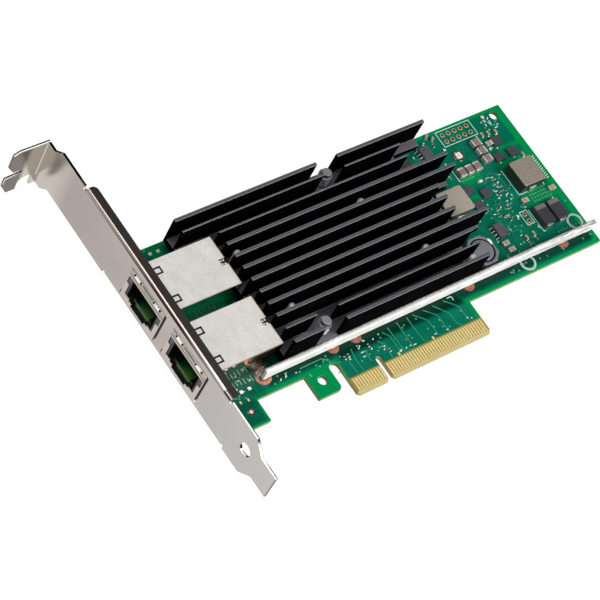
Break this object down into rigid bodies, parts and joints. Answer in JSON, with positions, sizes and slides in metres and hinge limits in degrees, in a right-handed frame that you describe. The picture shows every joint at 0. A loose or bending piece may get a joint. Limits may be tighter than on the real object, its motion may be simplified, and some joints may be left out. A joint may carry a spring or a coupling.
{
  "type": "network interface card",
  "caption": "Low-profile expansion card with shielded network jacks in a full-height slot bracket and a finned heatsink over its controller.",
  "frame": {"origin": "middle of the card edge's key notch, at the bottom edge of the gold fingers, on the board's component face", "axes": "+X along the card away from the bracket, +Y from the fingers to the board's far long edge, +Z out of the component face"},
  "size_m": [0.1661, 0.12, 0.023],
  "materials": {
    "board": "green solder mask on glass fibre laminate",
    "gold": "gold plating",
    "bracket_steel": "nickel plated steel sheet",
    "screw_steel": "nickel plated steel",
    "tin_shield": "tin plated copper alloy sheet",
    "black_moulding": "black glass-filled moulding",
    "light_pipe": "clear moulding",
    "substrate": "chip substrate",
    "nickel": "nickel plated",
    "thermal_pad": "soft grey pad",
    "black_anodised": "glossy black anodised extrusion",
    "spring_wire": "bright spring wire",
    "plated_bar": "bright tin plated bar",
    "copper": "bare copper",
    "ferrite_grey": "grey ferrite",
    "ferrite_beige": "pressed iron powder, beige",
    "tin_plate": "tin plated terminals",
    "capacitor_ceramic": "tan ceramic",
    "black_epoxy": "black epoxy moulding",
    "white_ceramic": "off-white ceramic"
  },
  "bodies": {
    "root": {"circuit_board": "board", "edge_contacts": "gold", "io_bracket": "bracket_steel", "bracket_screws": "screw_steel", "bracket_nuts": "screw_steel", "jack_shield_a": "tin_shield", "jack_shield_b": "tin_shield", "jack_housing_a": "black_moulding", "jack_housing_b": "black_moulding", "jack_contacts_a": "gold", "jack_contacts_b": "gold", "jack_light_pipes": "light_pipe", "jack_spring_fingers": "tin_shield", "controller_substrate": "substrate", "controller_lid": "nickel", "thermal_pad": "thermal_pad", "heatsink": "black_anodised", "heatsink_screws": "screw_steel", "heatsink_springs": "spring_wire", "heatsink_nuts": "screw_steel", "heatsink_pins": "nickel", "stiffener_bar": "plated_bar", "solder_pads": "copper", "output_inductor": "ferrite_grey", "output_inductor_terminals": "tin_plate", "covered_inductor": "ferrite_beige", "covered_inductor_terminals": "tin_plate", "drum_inductor_shield": "ferrite_grey", "drum_inductor_core": "ferrite_grey", "bulk_capacitor_bodies": "capacitor_ceramic", "bulk_capacitor_end_caps": "tin_plate", "small_capacitor_bodies": "capacitor_ceramic", "small_capacitor_end_caps": "tin_plate", "regulator_chips": "black_epoxy", "memory_chip_bodies": "black_epoxy", "memory_chip_leads": "tin_plate", "tank_capacitor_bodies": "black_epoxy", "tank_capacitor_tabs": "tin_plate", "clock_oscillator": "white_ceramic", "crystal_can": "nickel"}
  },
  "joints": []
}
